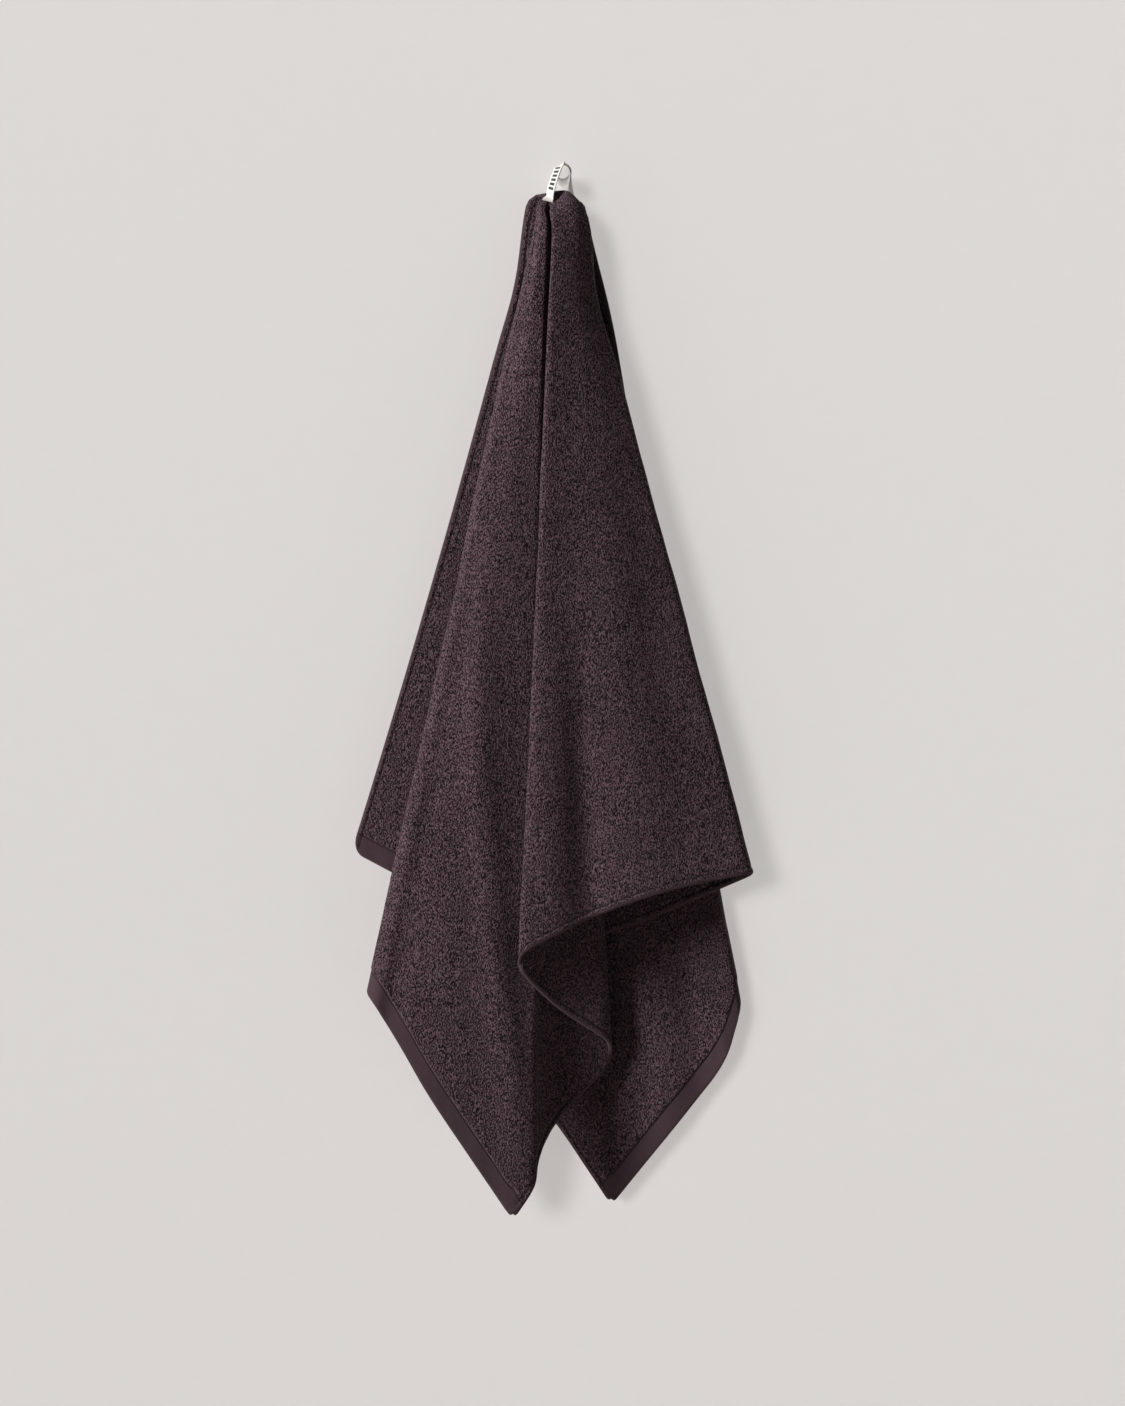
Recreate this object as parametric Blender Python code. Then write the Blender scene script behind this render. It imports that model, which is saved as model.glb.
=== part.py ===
"""Bath towel hanging by its sewn tape loop from a round wall peg.

Frame: the centre of the peg's wall face is at 0, 0, 0, the wall is the plane y = 0, the room is on
its -Y side and Z is up. "Out" in the tables is the distance from the wall, which is -Y.

The towel is one sheet. The middle of one long side is gathered at the loop, so every straight line
drawn on the cloth from that point to the free edge hangs down from it. The table of folds gives
where those lines end up, and the cloth between two of them is laid across with rounded turns.
"""

import bmesh
import bpy
import numpy as np

MM = 0.001

# Towel, flat
TOWEL_LONG = 1.400
TOWEL_SHORT = 0.700
PILE_THICK = 0.0038
HEM_THICK = 0.0052
GATHER_THICK = 0.0021
END_HEM = 0.020

# Gathered top of the towel, where the loop is sewn on
GATHER_POINT = np.array([2.0, 46.0, -17.0]) * MM
GATHER_HALF_WIDTH = 0.0315
GATHER_SHIFT = 0.0075
GATHER_DEPTH = 0.036
GATHER_BACK = 0.55
GATHER_REACH = 0.055
PLEATS_START = 0.015
NECK_RUN = 0.052
FALL_START = 0.060
FALL_FULL = 0.190
PILE_FULL = 0.205
SLACK_REACH = 0.220
SHOULDER = 0.2
LEAST_FALL = 0.15

# Peg
PEG_LONG = 0.050
PEG_WALL_RADIUS = 0.0058
PEG_FRONT_RADIUS = 0.0072
PEG_EDGE = 0.0010
PEG_SIDES = 40

# Loop tape. It rides on the peg at LOOP_OUT from the wall. Each end is sewn down along a line of
# the gathered cloth that meets the free edge at its seam place, at the shares of that line given.
TAPE_WIDE = 0.010
TAPE_THICK = 0.0010
TAPE_GAP = 0.00045
LOOP_OUT = 0.042
OVER_STEPS = 14
OVER_FROM = np.radians(186)
OVER_TO = np.radians(-8)
LEG_STEPS = 5
LEFT_SEAM = 0.853
LEFT_SHARES = (0.018, 0.014, 0.010)
RIGHT_SEAM = 2.396
RIGHT_SHARES = (0.017, 0.013, 0.009)
SEAT_SPAN = 0.010
SEAT_LIFT = 0.0028
GATHER_CORE = np.array([-4.0, -40.0, -60.0]) * MM

# One row a fold line, going round the free edge from the top left corner.
# edge_at: where it meets the free edge, mm along that edge from the corner.
# x_neck, out: its place in the neck, just below the loop. x_high, out: its place a fifth of the
# way down. x_low, out: its place at the edge.
# slack: mm of its length taken up in the gathers. bow: mm it bends sideways. round: mm of cloth in
# the turn on each side of it.
FOLDS = (
    # name                edge_at x_neck out  x_high out  x_low  out slack bow round
    ("top_left_corner",        0,   -38,  40,   -52,  43,  -203,   39,   16,  5,  8),
    ("left_leaf_belly",       90,   -33,  44,   -36,  45,  -137,   44,    2,  6, 40),
    ("left_inner_back",      208,   -13,  42,   -18,  44,   -20,   45,   14,  0, 14),
    ("left_inner_front",     230,   -13,  48,   -18,  52,   -20,   54,   14,  0, 14),
    ("left_fold",            424,   -25,  56,   -46,  62,  -188,   81,   18,  0, 10),
    ("left_fold_face",       448,   -24,  60,   -44,  68,  -177,   93,   18,  0, 14),
    ("left_fold_flat",       500,   -22,  61,   -39,  72,  -155,   93,   18,  0, 30),
    ("front_ridge",          575,   -20,  66,   -33,  77,  -126,   96,   16,  0, 30),
    ("left_tip",             700,   -15,  68,   -21,  78,   -47,   92,   -9,  0, 10),
    ("left_tip_turn",        734,   -14,  66,   -18,  75,   -28,   88,   -3,  0, 10),
    ("left_tip_inner",       757,   -13,  63,   -16,  71,   -27,   80,    6,  0, 14),
    ("inner_belly",          815,   -11,  56,    -8,  60,   -10,   65,    8,  0, 40),
    ("deep_front",           912,    -3,  45,     5,  46,    46,   46,    2,  0, 18),
    ("deep_back",            950,    -1,  51,     9,  53,    46,   55,    4,  0, 18),
    ("inner_sway",          1050,    -7,  63,    -4,  73,    -8,   77,   -7,  0, 40),
    ("lap",                 1138,   -10,  74,   -16,  91,   -51,  109,   -2,  0, 22),
    ("panel_hollow",        1235,     2,  72,     2,  85,    34,   95,   15,  0, 40),
    ("panel_belly",         1320,    15,  68,    18,  79,   109,   92,   20,  0, 40),
    ("right_point_front",   1405,    26,  59,    34,  67,   180,   78,   16,  1, 10),
    ("right_point_back",    1421,    26,  51,    34,  58,   180,   66,   16,  1, 10),
    ("back_panel_low",      1560,    10,  40,    13,  42,    60,   40,   -1,  0, 40),
    ("hidden_left_front",   1785,   -17,  35,   -24,  33,  -130,   30,   16,  0, 12),
    ("hidden_left_back",    1803,   -17,  29,   -24,  25,  -130,   20,   16,  0, 12),
    ("back_edge",           2010,    -3,  28,    -2,  27,    -9,   27,   19,  0, 30),
    ("right_tip",           2100,     5,  29,     8,  29,    47,   33,    2,  0, 10),
    ("right_leaf_curl",     2292,    18,  33,    31,  34,   157,   38,    6,  0, 30),
    ("right_fold_front",    2362,    22,  34,    35,  36,   171,   37,   13,  4, 14),
    ("right_fold_back",     2380,    22,  27,    35,  28,   171,   27,   15,  4, 14),
    ("hidden_inner_front",  2600,   -11,  22,   -17,  19,   -45,   14,   25,  0, 12),
    ("hidden_inner_back",   2616,   -11,  16,   -17,  12,   -45,    6,   25,  0, 12),
    ("top_right_corner",    2800,    23,  18,    35,  16,   120,    8,   45,  8,  8),
)
FOLD_NUMBERS = np.array([row[1:] for row in FOLDS], dtype=float) * MM

# Rows of the sheet's grid, as shares of the way from the loop to the free edge
ROWS = (0.0, 0.02, 0.04, 0.06, 0.085, 0.115, 0.15, 0.2, 0.27, 0.36, 0.46, 0.57, 0.68, 0.79, 0.89,
        1 - END_HEM / TOWEL_SHORT, 1.0)
LINE_STEPS = 240
COLUMN_STEP = 0.045


def clear_scene():
    for item in list(bpy.data.objects):
        bpy.data.objects.remove(item, do_unlink=True)


def material(name, colour, roughness, metallic=0.0):
    made = bpy.data.materials.new(name)
    made.use_nodes = True
    shader = made.node_tree.nodes["Principled BSDF"]
    shader.inputs["Base Color"].default_value = (*colour, 1.0)
    shader.inputs["Roughness"].default_value = roughness
    shader.inputs["Metallic"].default_value = metallic
    return made


def finish(name, mesh_data, surface, smooth=True):
    mesh = bpy.data.meshes.new(name)
    mesh_data.to_mesh(mesh)
    mesh_data.free()
    mesh.materials.append(surface)
    for face in mesh.polygons:
        face.use_smooth = smooth
    item = bpy.data.objects.new(name, mesh)
    bpy.context.collection.objects.link(item)
    return item


def ease(share):
    share = np.clip(share, 0.0, 1.0)
    return share * share * (3.0 - 2.0 * share)


def flat_place(edge_at):
    """Where on the flat cloth a point of the free edge lies: across and down from the loop."""
    half = TOWEL_LONG / 2
    if edge_at <= TOWEL_SHORT:
        return np.array([-half, edge_at])
    if edge_at <= TOWEL_SHORT + TOWEL_LONG:
        return np.array([edge_at - TOWEL_SHORT - half, TOWEL_SHORT])
    return np.array([half, 2 * TOWEL_SHORT + TOWEL_LONG - edge_at])


def fold_line(row, shares):
    """One fold line hanging from the loop: x, out and z at shares of its length."""
    edge_at, x_neck, out_neck, x_high, out_high, x_low, out_low, slack, bow, _ = row
    across, down = flat_place(edge_at)
    length = np.hypot(across, down)
    angle = np.arctan2(across, down)
    run = shares * length
    below = (shares - SHOULDER) / (1.0 - SHOULDER)
    bend = bow * 4.0 * np.where(shares < SHOULDER, shares * (1.0 - SHOULDER), shares * (1.0 - shares))
    lean = (run - NECK_RUN) / (SHOULDER * length - NECK_RUN)
    into_pleats = ease((run - PLEATS_START) / (NECK_RUN - PLEATS_START))
    into_fall = ease((run - FALL_START) / (FALL_FULL - FALL_START))

    def hung(top, neck, high, low):
        necked = neck + (high - neck) * lean
        fallen = high + (low - high) * below
        return top + (necked + (fallen - necked) * into_fall - top) * into_pleats

    rise = np.sin(np.minimum(run / GATHER_REACH, 1.0) * np.pi / 2)
    x_top = GATHER_POINT[0] + (GATHER_HALF_WIDTH * np.sin(angle) - GATHER_SHIFT) * rise
    out_top = GATHER_POINT[1] + GATHER_DEPTH * (np.cos(angle) - GATHER_BACK) * rise
    x = hung(x_top, x_neck, x_high, x_low) + bend * into_pleats
    out = hung(out_top, out_neck, out_high, out_low)
    step = np.diff(run)
    fall = np.sqrt(np.maximum(step**2 - np.diff(x) ** 2 - np.diff(out) ** 2, (LEAST_FALL * step) ** 2))
    z = GATHER_POINT[2] - np.concatenate([[0.0], np.cumsum(fall)]) + slack * ease(run / SLACK_REACH)
    return np.stack([x, out, z], axis=1)


def turn_reach(share):
    """Cloth in the rounded turn on each side of every fold line, measured along the free edge."""
    edge_at = FOLD_NUMBERS[:, 0]
    spare = np.diff(edge_at)
    most = np.zeros(len(edge_at))
    most[1:-1] = 0.49 * np.minimum(spare[:-1], spare[1:])
    return np.minimum(FOLD_NUMBERS[:, -1] * (0.4 + 0.6 * share) / max(share, 0.05), most)


def sheet_columns(step):
    """Places along the free edge: each turn's ends and middle, and even steps between them."""
    edge_at = FOLD_NUMBERS[:, 0]
    reach = turn_reach(1.0)
    marks = [0.0]
    for at, spread in zip(edge_at[1:-1], reach[1:-1]):
        marks += [at - spread, at, at + spread]
    marks.append(edge_at[-1])
    marks += [TOWEL_SHORT, TOWEL_SHORT + TOWEL_LONG]
    marks = np.unique(np.round(marks, 5))
    marks = marks[np.concatenate([[True], np.diff(marks) > 0.002])]
    columns = []
    for first, last in zip(marks[:-1], marks[1:]):
        parts = max(1, int(np.ceil((last - first) / step)))
        columns += list(first + (last - first) * np.arange(parts) / parts)
    return np.array(columns + [marks[-1]])


def across_folds(lines, share, columns):
    """The cloth's section at one share of the way down: fold points joined with rounded turns."""
    edge_at = FOLD_NUMBERS[:, 0]
    reach = turn_reach(share)
    gaps = np.diff(edge_at)
    section = []
    for at in columns:
        left = int(np.clip(np.searchsorted(edge_at, at, side="right") - 1, 0, len(gaps) - 1))
        place = lines[left] + (lines[left + 1] - lines[left]) * (at - edge_at[left]) / gaps[left]
        for fold in (left, left + 1):
            spread = reach[fold]
            if spread > 0 and abs(at - edge_at[fold]) < spread:
                before = lines[fold] + (lines[fold - 1] - lines[fold]) * spread / gaps[fold - 1]
                after = lines[fold] + (lines[fold + 1] - lines[fold]) * spread / gaps[fold]
                t = (at - edge_at[fold] + spread) / (2 * spread)
                place = (1 - t) ** 2 * before + 2 * t * (1 - t) * lines[fold] + t * t * after
        section.append(place)
    return np.array(section)


def hanging_sheet(columns, rows):
    """Points of the hanging cloth, a column a place on the free edge and a row a share of the way."""
    fine = np.linspace(0.0, 1.0, LINE_STEPS + 1)
    lines = np.array([fold_line(row, fine) for row in FOLD_NUMBERS])
    points = np.empty((len(columns), len(rows), 3))
    for number, share in enumerate(rows):
        at_row = np.array([[np.interp(share, fine, line[:, axis]) for axis in range(3)] for line in lines])
        points[:, number] = across_folds(at_row, share, columns)
    return np.stack([points[..., 0], -points[..., 1], points[..., 2]], axis=-1)


def sheet_thickness(columns, rows):
    """Thin where the top is gathered, thicker along the turned side hem and the end hems."""
    thick = np.empty((len(columns), len(rows)))
    for i, at in enumerate(columns):
        across, down = flat_place(at)
        for j, share in enumerate(rows):
            run = share * np.hypot(across, down)
            body = GATHER_THICK + (PILE_THICK - GATHER_THICK) * ease((run - GATHER_REACH) / (PILE_FULL - GATHER_REACH))
            thick[i, j] = HEM_THICK if share > 0.999 else body
    return thick


def towel():
    columns = sheet_columns(COLUMN_STEP)
    rows = np.array(ROWS)
    points = hanging_sheet(columns, rows)
    thick = sheet_thickness(columns, rows)
    sheet = bmesh.new()
    bmesh.ops.create_grid(sheet, x_segments=len(columns) - 1, y_segments=len(rows) - 1, size=1.0)
    weight = sheet.verts.layers.deform.verify()
    for vert in sheet.verts:
        i = round((vert.co.x + 1) / 2 * (len(columns) - 1))
        j = round((vert.co.y + 1) / 2 * (len(rows) - 1))
        vert.co = points[i, j]
        vert[weight][0] = thick[i, j] / HEM_THICK
    bmesh.ops.remove_doubles(sheet, verts=sheet.verts, dist=0.00002)
    bmesh.ops.recalc_face_normals(sheet, faces=sheet.faces)
    item = finish("towel", sheet, material("towel_terry", (0.055, 0.034, 0.042), 0.95))
    item.vertex_groups.new(name="thickness")
    solid = item.modifiers.new("thickness", "SOLIDIFY")
    solid.thickness = HEM_THICK
    solid.offset = 0.0
    solid.vertex_group = "thickness"
    solid.thickness_vertex_group = 0.0
    return item


def hook():
    """Round peg, a little thicker at its front, with a softened front edge and a flat wall face."""
    profile = bmesh.new()
    section = (
        (0.0, 0.0),
        (PEG_WALL_RADIUS, 0.0),
        (PEG_FRONT_RADIUS, -PEG_LONG),
        (0.0, -PEG_LONG),
    )
    corners = [profile.verts.new((radius, along, 0.0)) for radius, along in section]
    for pair in zip(corners[:-1], corners[1:]):
        profile.edges.new(pair)
    front_rim = corners[2]
    bmesh.ops.bevel(profile, geom=[front_rim], offset=PEG_EDGE, segments=3, profile=0.5,
                    affect="VERTICES", material=-1)
    bmesh.ops.spin(profile, geom=list(profile.verts) + list(profile.edges), cent=(0, 0, 0),
                   axis=(0, 1, 0), angle=2 * np.pi, steps=PEG_SIDES, use_merge=True)
    bmesh.ops.remove_doubles(profile, verts=profile.verts, dist=0.00001)
    bmesh.ops.recalc_face_normals(profile, faces=profile.faces)
    return finish("hook", profile, material("hook_paint", (0.76, 0.73, 0.69), 0.45))


def cloth_frame(edge_at, share):
    """A place just off the gathered cloth's outer face, and the direction across the cloth there."""
    columns = [edge_at - SEAT_SPAN, edge_at, edge_at + SEAT_SPAN]
    rows = [0.5 * share, share, 1.5 * share]
    near = hanging_sheet(columns, rows)
    down = near[1, 2] - near[1, 0]
    down /= np.linalg.norm(down)
    across = near[2, 1] - near[0, 1]
    across -= down * across.dot(down)
    across /= np.linalg.norm(across)
    face = np.cross(across, down)
    if face.dot(near[1, 1] - GATHER_CORE) < 0:
        face = -face
    return near[1, 1] + face * SEAT_LIFT, across


def loop_path():
    """Places along the tape's middle from its left sewn end, over the peg, to its right sewn end,
    each with the direction of the tape's width."""
    around = PEG_FRONT_RADIUS + TAPE_GAP + TAPE_THICK / 2
    level = np.array([0.0, -1.0, 0.0])
    over = []
    for step in range(OVER_STEPS + 1):
        angle = OVER_FROM + (OVER_TO - OVER_FROM) * step / OVER_STEPS
        over.append((np.array([around * np.cos(angle), -LOOP_OUT, around * np.sin(angle)]), level))
    legs = []
    ends = ((LEFT_SEAM, LEFT_SHARES, over[0]), (RIGHT_SEAM, RIGHT_SHARES, over[-1]))
    for edge_at, shares, peg_end in ends:
        sewn = []
        for share in shares:
            point, across = cloth_frame(edge_at, share)
            sewn.append((point, across if across.dot(level) > 0 else -across))
        leg = list(sewn)
        for step in range(1, LEG_STEPS):
            t = step / LEG_STEPS
            point = sewn[-1][0] * (1 - t) + peg_end[0] * t
            wide = sewn[-1][1] * (1 - ease(t)) + peg_end[1] * ease(t)
            leg.append((point, wide))
        legs.append(leg)
    return legs[0] + over + legs[1][::-1]


def loop():
    path = loop_path()
    places = [point for point, _ in path]
    last = len(path) - 1
    tape = bmesh.new()
    bmesh.ops.create_grid(tape, x_segments=last, y_segments=2, size=1.0)
    for vert in tape.verts:
        i = round((vert.co.x + 1) / 2 * last)
        ahead = places[min(i + 1, last)] - places[max(i - 1, 0)]
        ahead /= np.linalg.norm(ahead)
        wide = path[i][1] - ahead * path[i][1].dot(ahead)
        wide /= np.linalg.norm(wide)
        vert.co = places[i] + wide * vert.co.y * TAPE_WIDE / 2
    bmesh.ops.recalc_face_normals(tape, faces=tape.faces)
    item = finish("loop", tape, material("loop_tape", (0.74, 0.70, 0.66), 0.85))
    solid = item.modifiers.new("thickness", "SOLIDIFY")
    solid.thickness = TAPE_THICK
    solid.offset = 0.0
    return item


clear_scene()
towel()
hook()
loop()
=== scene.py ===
import bmesh
import bpy
import numpy as np
from mathutils import Matrix, Vector, noise


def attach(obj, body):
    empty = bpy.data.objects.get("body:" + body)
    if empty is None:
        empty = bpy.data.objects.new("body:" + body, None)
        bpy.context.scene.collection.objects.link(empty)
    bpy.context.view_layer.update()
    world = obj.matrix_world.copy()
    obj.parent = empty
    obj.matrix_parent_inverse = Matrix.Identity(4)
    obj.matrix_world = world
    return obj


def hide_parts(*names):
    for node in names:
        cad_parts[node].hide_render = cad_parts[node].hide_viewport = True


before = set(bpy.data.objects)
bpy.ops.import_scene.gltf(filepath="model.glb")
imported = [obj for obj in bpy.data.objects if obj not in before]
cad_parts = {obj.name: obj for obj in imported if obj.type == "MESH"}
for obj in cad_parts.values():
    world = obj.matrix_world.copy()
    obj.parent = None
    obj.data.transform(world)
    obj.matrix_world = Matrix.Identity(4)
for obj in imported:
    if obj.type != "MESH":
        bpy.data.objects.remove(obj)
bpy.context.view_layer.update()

MM = 0.001

# The towel's cloth, flat: s runs along the long side from its middle, t across it from the loop
TOWEL_LONG = 1.400
TOWEL_SHORT = 0.700
PILE_THICK = 0.0040
GATHER_THICK = 0.0022
END_HEM = 0.020
END_HEM_THICK = 0.0024
SIDE_HEM = 0.0068
SIDE_HEM_THICK = 0.0050
SIDE_GROOVE_THICK = 0.0030
RIM_ROUND = 0.0022
# How round each corner of the cloth is: at s, t and its radius
CORNERS = ((-0.700, 0.0, 0.015), (-0.700, 0.700, 0.005), (0.700, 0.700, 0.006), (0.700, 0.0, 0.015))

# Gathered top of the towel, as in the solid
GATHER_POINT = np.array([2.0, 46.0, -17.0]) * MM
GATHER_HALF_WIDTH = 0.0315
GATHER_SHIFT = 0.0075
GATHER_DEPTH = 0.036
GATHER_BACK = 0.55
GATHER_REACH = 0.055
PLEATS_START = 0.015
NECK_RUN = 0.052
FALL_START = 0.060
FALL_FULL = 0.190
PILE_FULL = 0.205
SLACK_REACH = 0.220
SHOULDER = 0.2
LEAST_FALL = 0.15
# The folds between these places of the free edge ride up over the right of the gathers, which the
# solid's do not: they leave the loop sideways before they fall
HOOD_FROM = (1.235, 1.320)
HOOD_TO = (1.421, 1.560)
HOOD_LIFT = 0.005

# Peg and tape loop, as in the solids but for the left leg, which leans out and turns
PEG_LONG = 0.050
PEG_WALL_RADIUS = 0.0058
PEG_FRONT_RADIUS = 0.0072
PEG_EDGE = 0.0010
TAPE_WIDE = 0.010
TAPE_THICK = 0.0010
TAPE_GAP = 0.00045
LOOP_OUT = 0.042
TOP_OUT = 0.046
OVER_STEPS = 24
OVER_FROM = np.radians(90)
OVER_TO = np.radians(-8)
LEG_STEPS = 8
LEFT_SEAM = 0.730
LEFT_SHARES = (0.0225, 0.0205, 0.0185, 0.0165)
# Places on the left leg, which turns its face to the room and covers the left of the peg's front
LEFT_WAY = np.array([
    [-11.6, -53.0, -20.0],
    [-9.0, -54.5, -10.6],
    [-6.6, -53.8, -3.5],
    [-4.0, -51.6, 3.6],
]) * MM
LEFT_TURN = np.radians(48)
RIGHT_SEAM = 2.396
RIGHT_SHARES = (0.017, 0.015, 0.013, 0.011, 0.009)
SEAT_SPAN = 0.010
SEAT_LIFT = 0.0028
GATHER_CORE = np.array([-4.0, -40.0, -60.0]) * MM

# One row a fold line, going round the free edge from the top left corner, as in the solid.
# edge_at: where it meets the free edge, mm along that edge from the corner.
# x_neck, out: its place in the neck, just below the loop. x_high, out: its place a fifth of the
# way down. x_low, out: its place at the edge.
# slack: mm of its length taken up in the gathers. bow: mm it bends sideways. round: mm of cloth in
# the turn on each side of it.
FOLDS = (
    # name                edge_at x_neck out  x_high out  x_low  out slack bow round
    ("top_left_corner",        0,   -38,  40,   -52,  43,  -203,   39,   16,  5,  8),
    ("left_leaf_belly",       90,   -33,  44,   -36,  45,  -137,   44,    2,  6, 40),
    ("left_inner_back",      208,   -13,  42,   -18,  44,   -20,   45,   14,  0, 14),
    ("left_inner_front",     230,   -13,  48,   -18,  52,   -20,   54,   14,  0, 14),
    ("left_fold",            424,   -25,  56,   -46,  62,  -188,   81,   18,  0, 10),
    ("left_fold_face",       448,   -24,  60,   -44,  68,  -177,   93,   18,  0, 14),
    ("left_fold_flat",       500,   -22,  61,   -39,  72,  -155,   93,   18,  0, 30),
    ("front_ridge",          575,   -20,  66,   -33,  77,  -126,   96,   16,  0, 30),
    ("left_tip",             700,   -15,  68,   -21,  78,   -47,   92,   -9,  0, 10),
    ("left_tip_turn",        734,   -14,  66,   -18,  75,   -28,   88,   -3,  0, 10),
    ("left_tip_inner",       757,   -13,  63,   -16,  71,   -27,   80,    6,  0, 14),
    ("inner_belly",          815,   -11,  56,    -8,  60,   -10,   65,    8,  0, 40),
    ("deep_front",           912,    -3,  45,     5,  46,    46,   46,    2,  0, 18),
    ("deep_back",            950,    -1,  51,     9,  53,    46,   55,    4,  0, 18),
    ("inner_sway",          1050,    -7,  63,    -4,  73,    -8,   77,   -7,  0, 40),
    ("lap",                 1138,   -10,  74,   -16,  91,   -51,  109,   -2,  0, 34),
    ("panel_hollow",        1235,     2,  72,     2,  85,    34,   95,   15,  0, 40),
    ("panel_belly",         1320,    15,  68,    18,  79,   109,   92,   20,  0, 40),
    ("right_point_front",   1405,    26,  59,    34,  67,   180,   78,   16,  1, 10),
    ("right_point_back",    1421,    26,  51,    34,  58,   180,   66,   16,  1, 10),
    ("back_panel_low",      1560,    10,  40,    13,  42,    60,   40,   -1,  0, 40),
    ("hidden_left_front",   1785,   -17,  35,   -24,  33,  -130,   30,   16,  0, 12),
    ("hidden_left_back",    1803,   -17,  29,   -24,  25,  -130,   20,   16,  0, 12),
    ("back_edge",           2010,    -3,  28,    -2,  27,    -9,   27,   19,  0, 30),
    ("right_tip",           2100,     5,  29,     8,  29,    47,   33,    2,  0, 10),
    ("right_leaf_curl",     2292,    18,  33,    31,  34,   157,   38,    6,  0, 30),
    ("right_fold_front",    2362,    22,  34,    35,  36,   171,   37,   13,  4, 14),
    ("right_fold_back",     2380,    22,  27,    35,  28,   171,   27,   15,  4, 14),
    ("hidden_inner_front",  2600,   -11,  22,   -17,  19,   -45,   14,   25,  0, 12),
    ("hidden_inner_back",   2616,   -11,  16,   -17,  12,   -45,    6,   25,  0, 12),
    ("top_right_corner",    2800,    23,  18,    35,  16,   120,    8,   45,  8,  8),
)
FOLD_NUMBERS = np.array([row[1:] for row in FOLDS], dtype=float) * MM
LINE_STEPS = 240

# Soft ridges and hollows within the panels. at_top, at_edge: where each runs, mm along the free
# edge. from, to: the shares of the way down where it starts and ends. half: its half width in mm.
# high: how far it stands off the panel, mm, or below it.
RIPPLES = (
    # name               at_top at_edge from to   half  high
    ("front_ridge_light", 492,   752, 0.40, 1.02, 34,   5.0),
    ("front_edge_hollow", 462,   478, 0.45, 1.30, 34,  -3.0),
    ("front_valley",      700,   715, 0.30, 0.95, 30,  -2.0),
    ("panel_trough",     1222,  1232, 0.62, 1.30, 22,  -5.0),
    ("panel_strip",      1183,  1188, 0.55, 1.30, 24,   3.0),
    ("panel_mid",        1290,  1280, 0.35, 1.10, 40,   3.0),
    ("panel_right",      1350,  1352, 0.30, 1.20, 30,  -2.0),
    ("left_leaf_mid",     110,   120, 0.40, 1.10, 60,  -1.5),
    ("right_leaf_mid",   2190,  2205, 0.55, 1.20, 45,   3.0),
    ("right_leaf_low",   2255,  2250, 0.65, 1.30, 30,  -3.0),
)

# Creases left by hands: height and size. Flutter of the free edge: height, length and reach in from it
CREASES = ((0.0011, 0.085), (0.0005, 0.030))
FLUTTER_HIGH = 0.0010
FLUTTER_LONG = 0.022
FLUTTER_REACH = 0.045

# Rows of the sheet's grid: mm from the free edge near it, then even steps, then shares at the top
EDGE_ROWS = (0, 0.5, 1.3, 2.5, 3.8, 5.0, 6.0, 6.8, 7.6, 9.5, 13, 17, 19.2, 20, 20.8, 22.5, 26, 32)
ROW_STEP = 0.0115
TOP_ROWS = (0.18, 0.16, 0.14, 0.12, 0.105, 0.09, 0.075, 0.06, 0.048, 0.036, 0.024, 0.012, 0.0)
# Steps between its columns: in the turns, near them and elsewhere, and how far a turn counts
TURN_STEP = 0.0036
NEAR_STEP = 0.0058
WIDE_STEP = 0.0100
TURN_REACH = 0.014
# Places beside the two ends of the gathered long side, mm, so that its hem keeps its shape
HEM_COLUMNS = (1.2, 2.5, 3.9, 5.3, 6.8, 8.8, 12, 15, 19, 24, 30, 37, 45)

# Camera of the photograph: level, square to the wall
CAMERA_OUT = 2.900
CAMERA_HIGH = -0.509
SENSOR = 36.0
LENS = 95.16

WALL_BACK = 0.0012
FLOOR_HIGH = -1.75


def ease(share):
    share = np.clip(share, 0.0, 1.0)
    return share * share * (3.0 - 2.0 * share)


# ---- The hanging cloth ----

def flat_place(edge_at):
    """Where on the flat cloth points of the free edge lie: s and t."""
    s = np.clip(edge_at - TOWEL_SHORT, 0.0, TOWEL_LONG) - TOWEL_LONG / 2
    t = np.minimum(np.minimum(edge_at, 2 * TOWEL_SHORT + TOWEL_LONG - edge_at), TOWEL_SHORT)
    return s, t


def rounded_end(s, t):
    """How far along each straight line from the loop the cloth goes before its rounded corner ends it."""
    end = np.ones(len(s))
    for corner_s, corner_t, radius in CORNERS:
        middle_s = corner_s - np.sign(corner_s) * radius
        middle_t = abs(corner_t - radius)
        inside = (np.abs(s - corner_s) < radius) & (np.abs(t - corner_t) < radius)
        square = s**2 + t**2
        along = s * middle_s + t * middle_t
        beyond = along**2 - square * (middle_s**2 + middle_t**2 - radius**2)
        reached = (along + np.sqrt(np.maximum(beyond, 0.0))) / square
        end = np.where(inside, reached, end)
    return end


def to_rim(s, t):
    """Distance in from the cloth's edge, with its rounded corners."""
    rim = np.minimum(TOWEL_LONG / 2 - np.abs(s), np.minimum(t, TOWEL_SHORT - t))
    for corner_s, corner_t, radius in CORNERS:
        off_s = radius - np.abs(s - corner_s)
        off_t = radius - np.abs(t - corner_t)
        inside = (off_s > 0) & (off_t > 0)
        rim = np.where(inside, radius - np.hypot(off_s, off_t), rim)
    return rim


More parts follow.
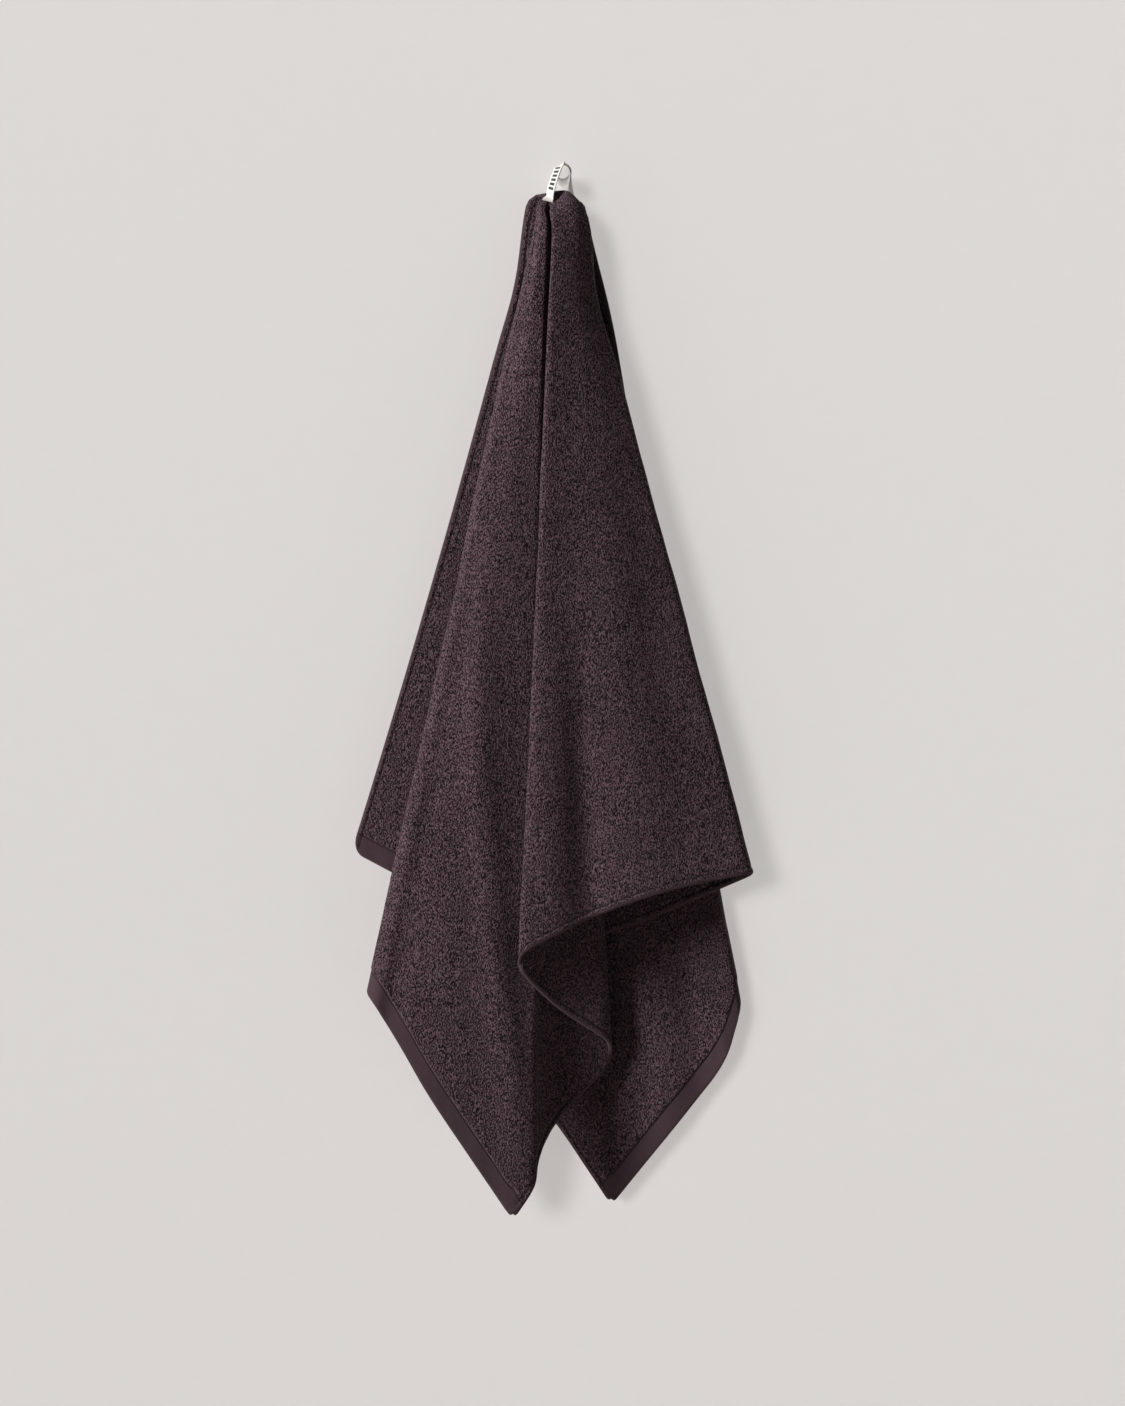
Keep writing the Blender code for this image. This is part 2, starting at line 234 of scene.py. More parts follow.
def fold_line(row, shares):
    """One fold line hanging from the loop: x, out and z at shares of its length."""
    edge_at, x_neck, out_neck, x_high, out_high, x_low, out_low, slack, bow, _ = row
    across, down = flat_place(edge_at)
    length = np.hypot(across, down)
    angle = np.arctan2(across, down)
    run = shares * length
    below = (shares - SHOULDER) / (1.0 - SHOULDER)
    bend = bow * 4.0 * np.where(shares < SHOULDER, shares * (1.0 - SHOULDER), shares * (1.0 - shares))
    lean = (run - NECK_RUN) / (SHOULDER * length - NECK_RUN)
    hood = ease((edge_at - HOOD_FROM[0]) / (HOOD_FROM[1] - HOOD_FROM[0]))
    hood *= 1 - ease((edge_at - HOOD_TO[0]) / (HOOD_TO[1] - HOOD_TO[0]))
    into_neck = np.minimum(run / NECK_RUN, 1.0)
    into_pleats = ease((run - PLEATS_START) / (NECK_RUN - PLEATS_START))
    into_pleats += (np.sin(into_neck * np.pi / 2) - into_pleats) * hood
    into_fall = ease((run - FALL_START) / (FALL_FULL - FALL_START))

    def hung(top, neck, high, low):
        necked = neck + (high - neck) * lean
        fallen = high + (low - high) * below
        return top + (necked + (fallen - necked) * into_fall - top) * into_pleats

    rise = np.sin(np.minimum(run / GATHER_REACH, 1.0) * np.pi / 2)
    x_top = GATHER_POINT[0] + (GATHER_HALF_WIDTH * np.sin(angle) - GATHER_SHIFT) * rise
    out_top = GATHER_POINT[1] + GATHER_DEPTH * (np.cos(angle) - GATHER_BACK) * rise
    x = hung(x_top, x_neck, x_high, x_low) + bend * into_pleats
    out = hung(out_top, out_neck, out_high, out_low)
    step = np.diff(run)
    fall = np.sqrt(np.maximum(step**2 - np.diff(x) ** 2 - np.diff(out) ** 2, (LEAST_FALL * step) ** 2))
    z = GATHER_POINT[2] - np.concatenate([[0.0], np.cumsum(fall)]) + slack * ease(run / SLACK_REACH)
    z += HOOD_LIFT * hood * np.sin(into_neck * np.pi)
    return np.stack([x, out, z], axis=1)


def turn_reach(share):
    """Cloth in the rounded turn on each side of every fold line, measured along the free edge."""
    spare = np.diff(FOLD_NUMBERS[:, 0])
    most = np.zeros(len(FOLD_NUMBERS))
    most[1:-1] = 0.49 * np.minimum(spare[:-1], spare[1:])
    return np.minimum(FOLD_NUMBERS[:, -1] * (0.4 + 0.6 * share) / max(share, 0.05), most)


def across_folds(lines, share, columns):
    """The cloth's section at one share of the way down: fold points joined with rounded turns."""
    edge_at = FOLD_NUMBERS[:, 0]
    reach = turn_reach(share)
    gaps = np.diff(edge_at)
    left = np.clip(np.searchsorted(edge_at, columns, side="right") - 1, 0, len(gaps) - 1)
    slope = (lines[1:] - lines[:-1]) / gaps[:, None]
    section = lines[left] + slope[left] * (columns - edge_at[left])[:, None]
    for fold in range(1, len(edge_at) - 1):
        spread = reach[fold]
        inside = np.abs(columns - edge_at[fold]) < spread
        t = ((columns[inside] - edge_at[fold] + spread) / (2 * spread))[:, None]
        before = lines[fold] - slope[fold - 1] * spread
        after = lines[fold] + slope[fold] * spread
        section[inside] = (1 - t) ** 2 * before + 2 * t * (1 - t) * lines[fold] + t * t * after
    return section


def hanging_sheet(columns, rows):
    """Points of the hanging cloth, a column a place on the free edge and a row a share of the way."""
    fine = np.linspace(0.0, 1.0, LINE_STEPS + 1)
    lines = np.array([fold_line(row, fine) for row in FOLD_NUMBERS])
    points = np.empty((len(columns), len(rows), 3))
    for number, share in enumerate(rows):
        at_row = np.array([[np.interp(share, fine, line[:, axis]) for axis in range(3)] for line in lines])
        points[:, number] = across_folds(at_row, share, np.asarray(columns))
    return np.stack([points[..., 0], -points[..., 1], points[..., 2]], axis=-1)


def sheet_columns():
    """Places along the free edge, closer together in the turns and beside the long side's ends."""
    edge_at = FOLD_NUMBERS[:, 0]
    reach = turn_reach(1.0)
    total = edge_at[-1]
    places = [0.0]
    while places[-1] < total:
        here = places[-1]
        off = np.abs(here - edge_at[1:-1])
        tight = np.minimum(reach[1:-1], TURN_REACH)
        step = WIDE_STEP
        if (off < 2.2 * tight).any():
            step = NEAR_STEP
        if (off < tight).any():
            step = TURN_STEP
        places.append(here + step)
    beside = np.array(HEM_COLUMNS) * MM
    middle = [place for place in places if beside[-1] < place < total - beside[-1]]
    corners = [TOWEL_SHORT, TOWEL_SHORT + TOWEL_LONG]
    middle = [place for place in middle if min(abs(place - corner) for corner in corners) > 0.0025]
    return np.array(sorted([0.0, *beside, *middle, *corners, *(total - beside), total]))


def sheet_rows():
    near_edge = 1.0 - np.array(EDGE_ROWS) * MM / TOWEL_SHORT
    lowest = near_edge[-1]
    steps = int(np.ceil((lowest - 0.2) * TOWEL_SHORT / ROW_STEP))
    middle = lowest + (0.2 - lowest) * np.arange(1, steps + 1) / steps
    return np.concatenate([near_edge, middle, TOP_ROWS])[::-1]


def pile_noise(s, t, size):
    """Smooth, repeatable unevenness of the cloth, from -1 to 1, with patches of about this size."""
    spots = zip(np.ravel(s) / size, np.ravel(t) / size)
    return np.array([noise.noise(Vector((a, b, 0.7))) for a, b in spots]).reshape(np.shape(s))


def soft_relief(columns, rows, s, t):
    """How far the cloth stands off its main folds: soft ridges, hollows and hand creases."""
    at, share = np.meshgrid(columns, rows, indexing="ij")
    high = np.zeros_like(at)
    for _, at_top, at_edge, starts, ends, half, height in RIPPLES:
        along = (share - starts) / (ends - starts)
        middle = (at_top + (at_edge - at_top) * np.clip(along, 0, 1)) * MM
        off = (at - middle) * share / (half * MM)
        fade = np.where((along > 0) & (along < 1), np.sin(np.clip(along, 0, 1) * np.pi) ** 0.7, 0.0)
        high += height * MM * fade * np.exp(-1.5 * off**2)
    free = ease((share - 0.18) / 0.3)
    for height, size in CREASES:
        high += height * free * pile_noise(s, t, size)
    flutter = ease(1.0 - (1.0 - share) * TOWEL_SHORT / FLUTTER_REACH)
    return high + FLUTTER_HIGH * flutter * pile_noise(at, np.zeros_like(at), FLUTTER_LONG)


def sheet_thickness(s, t, run, share):
    """Full pile, thinner in the gathers, flat woven end hems and rolled side hems with round edges."""
    filled = ease((run - GATHER_REACH) / (PILE_FULL - GATHER_REACH))
    body = GATHER_THICK + (PILE_THICK - GATHER_THICK) * filled
    to_end = TOWEL_LONG / 2 - np.abs(s)
    to_side = np.minimum(t, TOWEL_SHORT - t)
    end_hem = 1 - ease((to_end - END_HEM + 0.0006) / 0.0012)
    thick = body + (END_HEM_THICK - body) * end_hem
    rolled = ease(run / 0.120) * (1 - 0.45 * end_hem)
    roll = np.sqrt(np.clip(1.0 - ((to_side - 0.45 * SIDE_HEM) / (0.52 * SIDE_HEM)) ** 2, 0.0, 1.0))
    groove = np.exp(-((to_side - SIDE_HEM) / 0.0011) ** 2)
    thick += rolled * (SIDE_GROOVE_THICK - PILE_THICK) * groove
    cord = SIDE_GROOVE_THICK * 0.8 + (SIDE_HEM_THICK - SIDE_GROOVE_THICK * 0.8) * roll
    in_hem = (to_side < 0.94 * SIDE_HEM) * rolled
    thick = thick + (cord - thick) * in_hem
    rim = np.clip(to_rim(s, t) / RIM_ROUND, 0.0, 1.0)
    return thick * np.sqrt(np.clip(1.0 - (1.0 - rim) ** 2, 0.05, 1.0))


def towel():
    """The whole sheet in its hanging folds, with pile, hems and the creases made by hand."""
    columns = sheet_columns()
    rows = sheet_rows()
    points = hanging_sheet(columns, rows)
    edge_s, edge_t = flat_place(columns)
    end = rounded_end(edge_s, edge_t)
    share = rows[None, :] * (1 - (1 - end[:, None]) * ease((rows[None, :] - 0.7) / 0.3))
    for i in np.flatnonzero(end < 1.0):
        points[i] = np.stack([np.interp(share[i], rows, points[i, :, axis]) for axis in range(3)], axis=1)
    s = edge_s[:, None] * share
    t = edge_t[:, None] * share
    run = np.hypot(s, t)
    across = np.gradient(points, axis=0)
    down = np.gradient(points, axis=1)
    facing = -np.cross(across, down)
    facing /= np.maximum(np.linalg.norm(facing, axis=-1, keepdims=True), 1e-12)
    points = points + facing * soft_relief(columns, rows, s, t)[..., None]
    thick = sheet_thickness(s, t, run, rows[None, :])

    sheet = bmesh.new()
    bmesh.ops.create_grid(sheet, x_segments=len(columns) - 1, y_segments=len(rows) - 1, size=1.0)
    weight = sheet.verts.layers.deform.verify()
    cloth = sheet.loops.layers.uv.new("cloth")
    spot = {}
    for vert in sheet.verts:
        i = round((vert.co.x + 1) / 2 * (len(columns) - 1))
        j = round((vert.co.y + 1) / 2 * (len(rows) - 1))
        spot[vert] = (s[i, j], t[i, j])
        vert.co = points[i, j]
        vert[weight][0] = thick[i, j] / SIDE_HEM_THICK
    for face in sheet.faces:
        for corner in face.loops:
            corner[cloth].uv = spot[corner.vert]
    bmesh.ops.remove_doubles(sheet, verts=sheet.verts, dist=0.000001)
    bmesh.ops.recalc_face_normals(sheet, faces=sheet.faces)
    item = piece("bath_towel", sheet, terry_finish())
    item.vertex_groups.new(name="thickness")
    solid = item.modifiers.new("thickness", "SOLIDIFY")
    solid.thickness = SIDE_HEM_THICK
    solid.offset = 0.0
    solid.vertex_group = "thickness"
    solid.thickness_vertex_group = 0.0
    return item


# ---- The tape loop and the peg ----

def cloth_frame(edge_at, share):
    """A place just off the gathered cloth's outer face, and the direction across the cloth there."""
    columns = [edge_at - SEAT_SPAN, edge_at, edge_at + SEAT_SPAN]
    rows = [0.5 * share, share, 1.5 * share]
    near = hanging_sheet(columns, rows)
    down = near[1, 2] - near[1, 0]
    down /= np.linalg.norm(down)
    across = near[2, 1] - near[0, 1]
    across -= down * across.dot(down)
    across /= np.linalg.norm(across)
    face = np.cross(across, down)
    if face.dot(near[1, 1] - GATHER_CORE) < 0:
        face = -face
    return near[1, 1] + face * SEAT_LIFT, across


def smooth_way(places):
    """Close places on a smooth curve through the given ones."""
    padded = [2 * places[0] - places[1], *places, 2 * places[-1] - places[-2]]
    way = []
    for a, b, c, d in zip(padded, padded[1:], padded[2:], padded[3:]):
        for t in np.arange(LEG_STEPS) / LEG_STEPS:
            curve = (2 * a - 5 * b + 4 * c - d) * t**2 + (3 * b - a - 3 * c + d) * t**3
            way.append(b + ((c - a) * t + curve) / 2)
    return way + [places[-1]]


def loop_path():
    """Places along the tape's middle from its left sewn end, over the peg, to its right sewn end,
    each with the direction of the tape's width."""
    around = PEG_FRONT_RADIUS + TAPE_GAP + TAPE_THICK / 2
    level = np.array([0.0, -1.0, 0.0])
    turned = np.array([np.sin(LEFT_TURN), -np.cos(LEFT_TURN), 0.0])
    over = []
    for step in range(OVER_STEPS + 1):
        share = step / OVER_STEPS
        angle = OVER_FROM + (OVER_TO - OVER_FROM) * share
        out = TOP_OUT + (LOOP_OUT - TOP_OUT) * ease(share)
        over.append((np.array([around * np.cos(angle), -out, around * np.sin(angle)]), level))
    sewn = []
    for edge_at, shares in ((LEFT_SEAM, LEFT_SHARES), (RIGHT_SEAM, RIGHT_SHARES)):
        ends = [cloth_frame(edge_at, share) for share in shares]
        sewn.append([(point, across if across.dot(level) > 0 else -across) for point, across in ends])
    left, right = sewn
    seam, seam_wide = left[-1]
    way = smooth_way([seam, *LEFT_WAY, over[0][0]])
    for t, point in zip(np.linspace(0, 1, len(way))[1:-1], way[1:-1]):
        wide = seam_wide + (turned - seam_wide) * ease(t / 0.3)
        left.append((point, wide + (level - wide) * ease((t - 0.8) / 0.2)))
    seam, seam_wide = right[-1]
    for t in np.linspace(0, 1, LEG_STEPS)[1:-1]:
        right.append((seam * (1 - t) + over[-1][0] * t, seam_wide * (1 - ease(t)) + level * ease(t)))
    return left + over + right[::-1]


def tape_loop():
    path = loop_path()
    places = np.array([point for point, _ in path])
    along = np.concatenate([[0.0], np.cumsum(np.linalg.norm(np.diff(places, axis=0), axis=1))])
    last = len(path) - 1
    tape = bmesh.new()
    bmesh.ops.create_grid(tape, x_segments=last, y_segments=10, size=1.0)
    woven = tape.loops.layers.uv.new("tape")
    spot = {}
    for vert in tape.verts:
        i = round((vert.co.x + 1) / 2 * last)
        ahead = places[min(i + 1, last)] - places[max(i - 1, 0)]
        ahead /= np.linalg.norm(ahead)
        wide = path[i][1] - ahead * path[i][1].dot(ahead)
        wide /= np.linalg.norm(wide)
        spot[vert] = (along[i], vert.co.y * TAPE_WIDE / 2)
        vert.co = places[i] + wide * vert.co.y * TAPE_WIDE / 2
    for face in tape.faces:
        for corner in face.loops:
            corner[woven].uv = spot[corner.vert]
    bmesh.ops.recalc_face_normals(tape, faces=tape.faces)
    item = piece("tape_loop", tape, tape_finish())
    solid = item.modifiers.new("thickness", "SOLIDIFY")
    solid.thickness = TAPE_THICK
    solid.offset = 0.0
    edge = item.modifiers.new("soft_edge", "BEVEL")
    edge.width = 0.00022
    edge.segments = 2
    edge.limit_method = "ANGLE"
    return item


def peg():
    """Turned peg, a little thicker at its front, with a soft front edge and a flat wall face."""
    profile = bmesh.new()
    section = ((0.0, 0.0), (PEG_WALL_RADIUS, 0.0), (PEG_FRONT_RADIUS, -PEG_LONG), (0.0, -PEG_LONG))
    corners = [profile.verts.new((radius, along, 0.0)) for radius, along in section]
    for pair in zip(corners[:-1], corners[1:]):
        profile.edges.new(pair)
    bmesh.ops.bevel(profile, geom=[corners[2]], offset=PEG_EDGE, segments=8, profile=0.5,
                    affect="VERTICES", material=-1)
    bmesh.ops.spin(profile, geom=list(profile.verts) + list(profile.edges), cent=(0, 0, 0),
                   axis=(0, 1, 0), angle=2 * np.pi, steps=128, use_merge=True)
    bmesh.ops.remove_doubles(profile, verts=profile.verts, dist=0.000005)
    bmesh.ops.recalc_face_normals(profile, faces=profile.faces)
    return piece("wall_peg", profile, peg_finish())


def piece(name, mesh_data, finish):
    mesh = bpy.data.meshes.new(name)
    mesh_data.to_mesh(mesh)
    mesh_data.free()
    mesh.materials.append(finish)
    for face in mesh.polygons:
        face.use_smooth = True
    item = bpy.data.objects.new(name, mesh)
    bpy.context.scene.collection.objects.link(item)
    return item


# ---- Finishes ----

class Socket:
    """A shader socket in Python arithmetic: each operator adds a Math node."""

    def __init__(self, finish, link):
        self.finish = finish
        self.link = link

    def maths(self, operation, *values):
        return self.finish.node("ShaderNodeMath", {"operation": operation}, dict(enumerate(values)))

    def __add__(self, other):
        return self.maths("ADD", self, other)

    __radd__ = __add__

    def __mul__(self, other):
        return self.maths("MULTIPLY", self, other)

    def __sub__(self, other):
        return self.maths("SUBTRACT", self, other)

    def __rsub__(self, other):
        return self.maths("SUBTRACT", other, self)

    def __truediv__(self, other):
        return self.maths("DIVIDE", self, other)

    def __abs__(self):
        return self.maths("ABSOLUTE", self)

    def fraction(self):
        return self.maths("FRACT", self)

    def root(self):
        return self.maths("SQRT", self)

    def larger(self, other):
        return self.maths("MAXIMUM", self, other)

    def smooth(self, low, high):
        """From 0 at low to 1 at high, softly."""
        kind = {"interpolation_type": "SMOOTHSTEP"}
        return self.finish.node("ShaderNodeMapRange", kind, {0: self, 1: low, 2: high, 3: 0.0, 4: 1.0})


class Finish:
    """One procedural material: its shader's fixed values, and the nodes that vary."""

    def __init__(self, name, **fixed):
        self.material = bpy.data.materials.new(name)
        self.material.use_nodes = True
        self.tree = self.material.node_tree
        self.shader = self.tree.nodes["Principled BSDF"]
        for word, value in fixed.items():
            self.shader.inputs[word.replace("_", " ")].default_value = value

    def set(self, socket, value):
        if isinstance(value, Socket):
            self.tree.links.new(value.link, socket)
        else:
            socket.default_value = value

    def node(self, kind, settings, sockets, out=0):
        made = self.tree.nodes.new(kind)
        for word, value in settings.items():
            setattr(made, word, value)
        for where, value in sockets.items():
            self.set(made.inputs[where], value)
        return Socket(self, made.outputs[out])

    def mixed(self, share, first, second):
        kind = {"data_type": "RGBA", "blend_type": "MIX", "clamp_factor": True}
        return self.node("ShaderNodeMix", kind, {0: share, 6: first, 7: second}, out=2)

    def scaled(self, place, factors):
        return self.node("ShaderNodeVectorMath", {"operation": "MULTIPLY"}, {0: place, 1: factors})

    def axes(self, place):
        return [self.node("ShaderNodeSeparateXYZ", {}, {0: place}, out=axis) for axis in range(3)]

    def noise(self, place, scale, detail=2.0, rough=0.5):
        sockets = {"Vector": place, "Scale": scale, "Detail": detail, "Roughness": rough}
        return self.node("ShaderNodeTexNoise", {"noise_dimensions": "3D"}, sockets)

    def bands(self, place, axis, scale):
        kind = {"wave_type": "BANDS", "bands_direction": axis}
        sockets = {"Vector": place, "Scale": scale, "Distortion": 0.4, "Detail": 1.0}
        return self.node("ShaderNodeTexWave", kind, sockets)

    def bump(self, height, distance, strength):
        sockets = {"Strength": strength, "Distance": distance, "Height": height}
        return self.node("ShaderNodeBump", {}, sockets)

    def set_inputs(self, **varying):
        for word, value in varying.items():
            self.set(self.shader.inputs[word.replace("_", " ")], value)
        return self.material


# Ends of the pile's grain: near-black painted shade between the loops, and the lit tone of the loop tops
TERRY_GAP_SHADE = (0.0045, 0.0027, 0.0033, 1.0)
TERRY_LIGHT = (0.142, 0.088, 0.105, 1.0)
HEM_COLOUR = (0.062, 0.038, 0.045, 1.0)
HEM_SHADE = (0.036, 0.022, 0.026, 1.0)
STITCH_DARK = (0.018, 0.012, 0.014, 1.0)
TAPE_PALE = (0.78, 0.75, 0.72, 1.0)
TAPE_SHADE = (0.52, 0.49, 0.47, 1.0)
BAR_BLACK = (0.018, 0.018, 0.020, 1.0)
PEG_CREAM = (0.72, 0.69, 0.65, 1.0)
PEG_PALE = (0.80, 0.77, 0.73, 1.0)
# Grey of the painted shade ring at the peg's turned front edge
PEG_RIM_SHADE = (0.40, 0.38, 0.36, 1.0)
WALL_COLOUR = (0.786, 0.754, 0.739, 1.0)
WALL_SHADE = (0.985 * 0.786, 0.985 * 0.754, 0.985 * 0.739, 1.0)
FLOOR_COLOUR = (0.70, 0.68, 0.66, 1.0)
FLOOR_PALE = (0.73, 0.71, 0.69, 1.0)
# Texture sizes, as so many to the metre
GRAIN = 820.0
FIBRES = 1300.0
WEAVE = 320.0
# Black bars on the tape: from and to along it, one a pitch, and half of a bar's width
BARS_FROM = 0.0125
BARS_TO = 0.0378
BAR_PITCH = 0.0042
BAR_HALF = 0.0030
STITCH_LONG = 0.0032
# How far in from the side edges the flat rim of the hem gives way to pile
RIM_FROM = 0.0022
RIM_TO = 0.0040
PILE_BUMP = 0.0026


def terry_finish():
    """Dark terry: fine grain of pile, partly random tone and partly painted shade between the loops and
    painted light on their tops, with flat woven end hems and rolled, stitched side hems.
    """
    cloth = Finish("towel_terry", Roughness=0.92, Sheen_Weight=0.10, Sheen_Roughness=0.5,
                   Sheen_Tint=(0.62, 0.50, 0.55, 1.0), Specular_IOR_Level=0.10)
    flat = cloth.node("ShaderNodeUVMap", {"uv_map": "cloth"}, {})
    s, t, _ = cloth.axes(flat)
    place = cloth.node("ShaderNodeTexCoord", {}, {}, out=3)
    grain = cloth.noise(cloth.scaled(place, (1.0, 1.0, 0.66)), GRAIN, 1.0, 0.50)
    fibres = cloth.noise(place, FIBRES, 2.0, 0.6)
    tufts = cloth.noise(flat, 110.0, 2.0)
    patches = cloth.noise(flat, 14.0, 3.0)
    # Pile grain: random tone, with its spread partly painted shade in the gaps between loops and painted
    # light on the loop tops
    light = grain + (fibres - 0.5) * 0.25 + (tufts - 0.5) * 0.04 + (patches - 0.5) * 0.08
    pile = cloth.mixed(light.smooth(0.34, 0.74), TERRY_GAP_SHADE, TERRY_LIGHT)

    to_end = TOWEL_LONG / 2 - abs(s)
    to_side = TOWEL_SHORT / 2 - abs(t - TOWEL_SHORT / 2)
    ragged = (cloth.noise(flat, 300.0, 1.0) - 0.5) * 0.0030
    end_band = 1 - (to_end + ragged).smooth(END_HEM - 0.0008, END_HEM + 0.0006)
    side_band = 1 - (to_side + ragged * 0.6).smooth(RIM_FROM, RIM_TO)
    hem = end_band.larger(side_band)
    ribs = cloth.bands(flat, "X", WEAVE)
    picks = cloth.bands(flat, "Y", WEAVE)
    weave = ribs * picks
    woven = cloth.mixed(weave * 0.45 + (grain - 0.5) * 0.9 + fibres * 0.2, HEM_COLOUR, HEM_SHADE)
    stitch_end = (1 - abs(to_end - END_HEM + 0.0014).smooth(0.0003, 0.0010)) * end_band
    dashes = 1 - abs((s / STITCH_LONG).fraction() - 0.5).smooth(0.28, 0.40)
    stitch_side = (1 - abs(to_side - SIDE_HEM + 0.0002).smooth(0.0004, 0.0010)) * (1 - end_band)
    stitch = stitch_end.larger(stitch_side * (0.35 + dashes * 0.65))
    colour = cloth.mixed(stitch * 0.80, cloth.mixed(hem, pile, woven), STITCH_DARK)

    pile_height = (grain * 0.9 + fibres * 0.20 + tufts * 0.15) * (1 - hem)
    height = pile_height + hem * (0.35 + weave * 0.12 + fibres * 0.10) - stitch * 0.25
    return cloth.set_inputs(Base_Color=colour, Normal=cloth.bump(height, PILE_BUMP, 0.9))


def tape_finish():
    """Off-white woven tape with a row of even short black bars on the part left of the peg."""
    tape = Finish("loop_tape", Roughness=0.8, Sheen_Weight=0.1, Specular_IOR_Level=0.25)
    flat = tape.node("ShaderNodeUVMap", {"uv_map": "tape"}, {})
    along, across, _ = tape.axes(flat)
    ribs = tape.bands(flat, "X", 560.0)
    threads = tape.noise(tape.scaled(flat, (1.0, 5.0, 1.0)), 900.0, 2.0)
    ground = tape.mixed(ribs * 0.3 + threads * 0.4, TAPE_PALE, TAPE_SHADE)
    beat = (along / BAR_PITCH).fraction()
    bars = beat.smooth(0.10, 0.16) * (1 - beat.smooth(0.70, 0.76))
    bars = bars * along.smooth(BARS_FROM, BARS_FROM + 0.0002)
    bars = bars * (1 - along.smooth(BARS_TO, BARS_TO + 0.0002))
    bars = bars * (1 - abs(across).smooth(BAR_HALF, BAR_HALF + 0.0003))
    colour = tape.mixed(bars * (0.9 + threads * 0.1), ground, BAR_BLACK)
    height = ribs * 0.6 + threads * 0.5
    return tape.set_inputs(Base_Color=colour, Normal=tape.bump(height, 0.00025, 0.8))


def peg_finish():
    """Off-white satin paint with a faint orange-peel, and painted shade as a grey ring at the turned front
    edge.
    """
    paint = Finish("hook_paint", Specular_IOR_Level=0.4)
    place = paint.node("ShaderNodeTexCoord", {}, {}, out=3)
    peel = paint.noise(place, 900.0, 2.0)
    cloud = paint.noise(place, 120.0, 3.0)
    x, _, z = paint.axes(place)
    from_middle = (x * x + z * z).root()
    # Painted shade: the paint turns grey near the front radius, a ring that stands in for the shadow line
    # round the peg's face
    rim = from_middle.smooth(PEG_FRONT_RADIUS - 0.0013, PEG_FRONT_RADIUS - 0.0003)
    colour = paint.mixed(rim * 0.55, paint.mixed(cloud, PEG_CREAM, PEG_PALE), PEG_RIM_SHADE)
    bump = paint.bump(peel, 0.00008, 0.5)
    return paint.set_inputs(Base_Color=colour, Roughness=0.36 + cloud * 0.16, Normal=bump)


def plaster_finish():
    """Plain pale wall, seen through from behind so that the towel's back can be looked at."""
    wall = Finish("pale_wall", Roughness=0.95, Specular_IOR_Level=0.1)
    place = wall.node("ShaderNodeTexCoord", {}, {}, out=3)
    grain = wall.noise(place, 60.0, 4.0)
    wall.set_inputs(Base_Color=wall.mixed(grain, WALL_COLOUR, WALL_SHADE))
    behind = wall.node("ShaderNodeNewGeometry", {}, {}, out="Backfacing")
    clear = wall.node("ShaderNodeBsdfTransparent", {}, {})
    face = Socket(wall, wall.shader.outputs[0])
    shown = wall.node("ShaderNodeMixShader", {}, {0: behind, 1: face, 2: clear})
    wall.tree.links.new(shown.link, wall.tree.nodes["Material Output"].inputs[0])
    return wall.material


def floor_finish():
    floor = Finish("pale_floor", Roughness=0.9, Specular_IOR_Level=0.1)
    place = floor.node("ShaderNodeTexCoord", {}, {}, out=3)
    cloud = floor.noise(place, 3.0, 3.0)
    return floor.set_inputs(Base_Color=floor.mixed(cloud, FLOOR_COLOUR, FLOOR_PALE))


# ---- Studio ----

def backdrop(name, size, place, turn, finish):
    plane = bmesh.new()
    bmesh.ops.create_grid(plane, x_segments=1, y_segments=1, size=size)
    bmesh.ops.rotate(plane, verts=plane.verts, cent=(0, 0, 0), matrix=turn)
    bmesh.ops.translate(plane, verts=plane.verts, vec=place)
    item = piece(name, plane, finish)
    return item


# Each light: name, degrees to the left of the wall's straight-out line, degrees up, how wide it
# looks in degrees, strength, what it lights and what casts a shadow in it
LIGHTS = (
    ("wall_wash",   0,  10, 110, 2.30, "room", "room"),
    ("wall_key",  23,  10,  15, 0.80, "room", "all"),
    ("left_soft",   62,  17,  20, 5.30, "hanging", "hanging"),
    ("front_soft",   0,  30,  80, 0.04, "hanging", "hanging"),
    ("back_soft", 180,  20,  90, 0.90, "hanging", "hanging"),
    ("peg_soft",     0,  25,  60, 2.30, "peg",     "peg"),
)


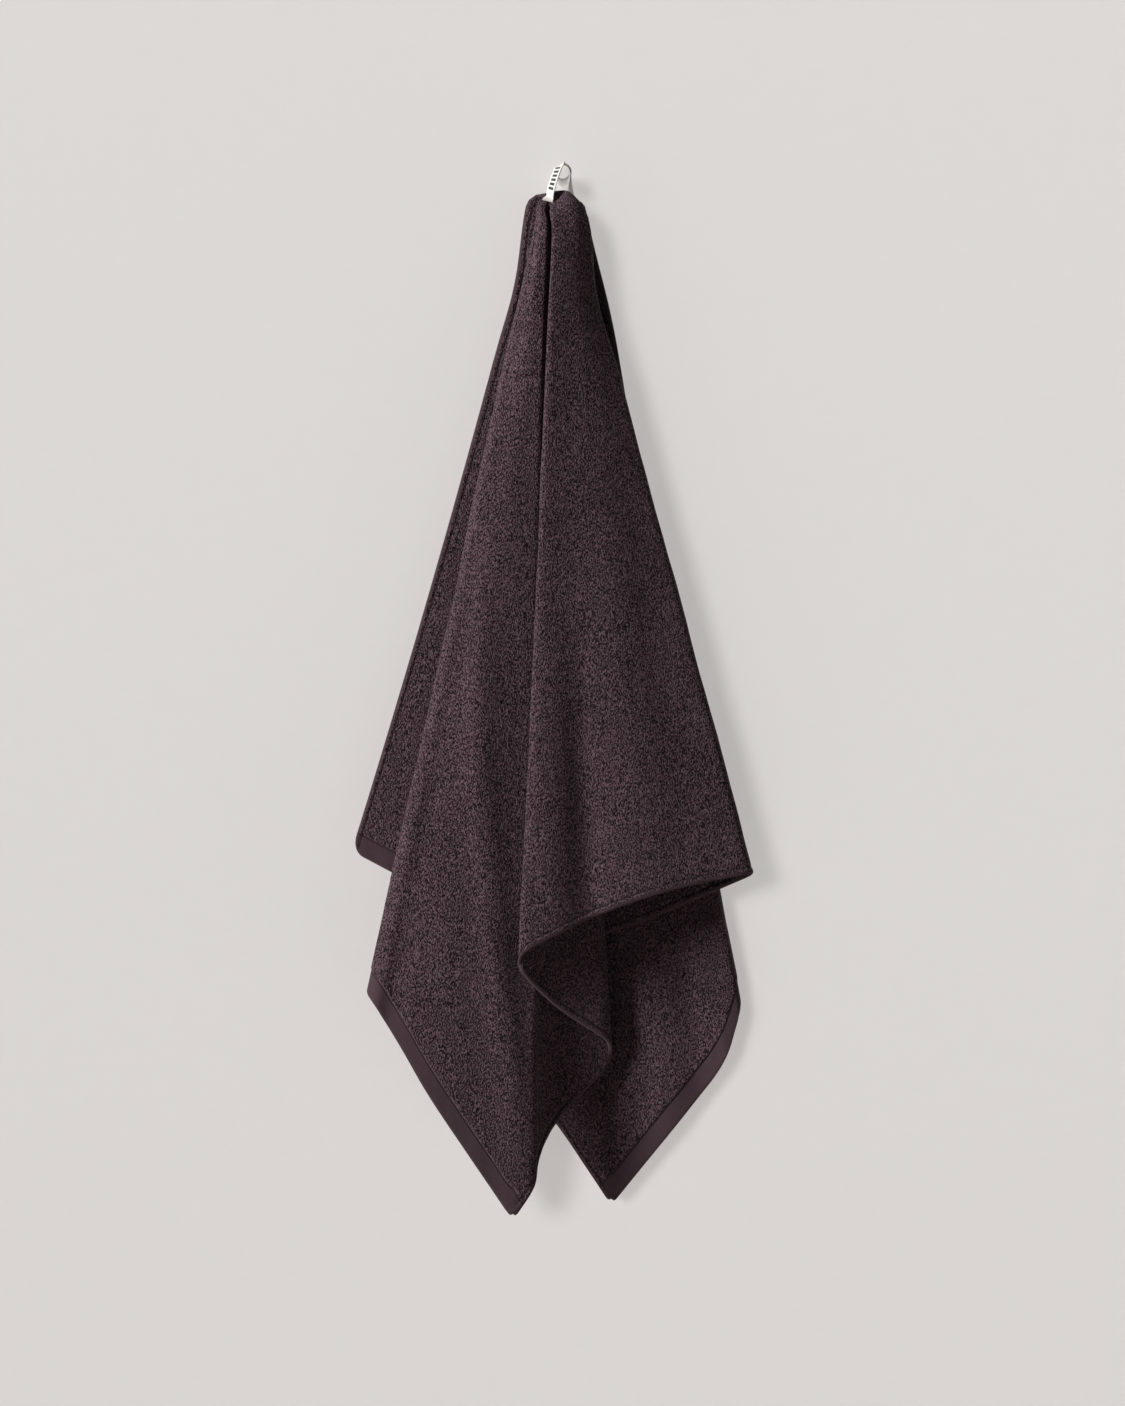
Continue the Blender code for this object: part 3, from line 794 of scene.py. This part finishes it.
def studio(hanging):
    """Wall, floor and soft lights. The side and back lights are kept off the wall, as flags would."""
    wall = backdrop("wall", 6.0, (0, WALL_BACK, 0), Matrix.Rotation(np.pi / 2, 3, "X"), plaster_finish())
    floor = backdrop("floor", 6.0, (0, 0, FLOOR_HIGH), Matrix.Identity(3), floor_finish())
    lit = {"room": (wall, floor), "hanging": hanging, "all": (wall, floor, *hanging), "peg": hanging[2:]}
    groups = {}
    for name, things in lit.items():
        groups[name] = bpy.data.collections.new(name + "_lit")
        for thing in things:
            groups[name].objects.link(thing)
    world = bpy.data.worlds.new("studio")
    world.use_nodes = True
    world.node_tree.nodes["Background"].inputs["Color"].default_value = (0.80, 0.78, 0.77, 1.0)
    world.node_tree.nodes["Background"].inputs["Strength"].default_value = 0.025
    bpy.context.scene.world = world
    for name, left, up, wide, strength, lights, shaded in LIGHTS:
        data = bpy.data.lights.new(name, "SUN")
        data.angle = np.radians(wide)
        data.energy = strength
        lamp = bpy.data.objects.new(name, data)
        left, up = np.radians(left), np.radians(up)
        towards = Vector((-np.sin(left) * np.cos(up), -np.cos(left) * np.cos(up), np.sin(up)))
        lamp.rotation_euler = towards.to_track_quat("Z", "Y").to_euler()
        lamp.location = towards * 3.0
        bpy.context.scene.collection.objects.link(lamp)
        lamp.light_linking.receiver_collection = groups[lights]
        lamp.light_linking.blocker_collection = groups[shaded]


def camera():
    data = bpy.data.cameras.new("photo_camera")
    data.sensor_fit = "HORIZONTAL"
    data.sensor_width = SENSOR
    data.lens = LENS
    data.clip_end = 50.0
    item = bpy.data.objects.new("photo_camera", data)
    item.location = (0.0, -CAMERA_OUT, CAMERA_HIGH)
    item.rotation_euler = (np.pi / 2, 0.0, 0.0)
    bpy.context.scene.collection.objects.link(item)
    bpy.context.scene.camera = item


bpy.context.scene.view_settings.view_transform = "Standard"
camera()
hanging_towel = towel()
loop = tape_loop()
hook = peg()
for item, node, slot in ((hanging_towel, "towel", "towel_terry"), (loop, "loop", "loop_tape"),
                         (hook, "hook", "hook_paint")):
    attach(item, "root")
    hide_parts(node)
studio((hanging_towel, loop, hook))
